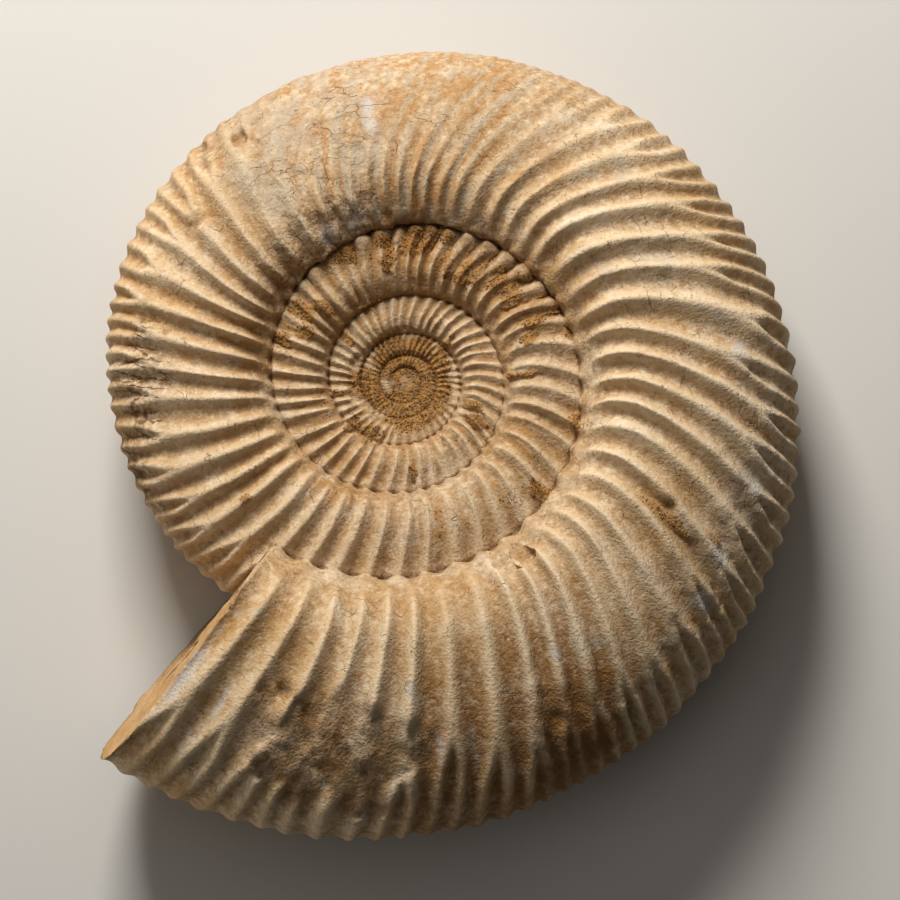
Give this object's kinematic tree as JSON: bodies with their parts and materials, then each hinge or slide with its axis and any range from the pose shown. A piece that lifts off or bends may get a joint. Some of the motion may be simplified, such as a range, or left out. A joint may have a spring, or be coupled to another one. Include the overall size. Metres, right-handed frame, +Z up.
{
  "type": "ammonite fossil",
  "caption": "Ribbed ammonite fossil of pale limestone, lying on its flank: a flat open coil with forked ribs, a sunken middle and a broken aperture.",
  "frame": {"origin": "on the surface the fossil lies on, under the middle of its bounding box", "axes": "+Z up out of the upper flank and near the coiling axis; -Y is the side that faces the viewer, with the aperture at the -X -Y corner"},
  "size_m": [0.1236, 0.1422, 0.0421],
  "materials": {
    "limestone": "matte, ribbed, with brown sediment in the furrows"
  },
  "bodies": {
    "root": {"ammonite": "limestone"}
  },
  "joints": []
}
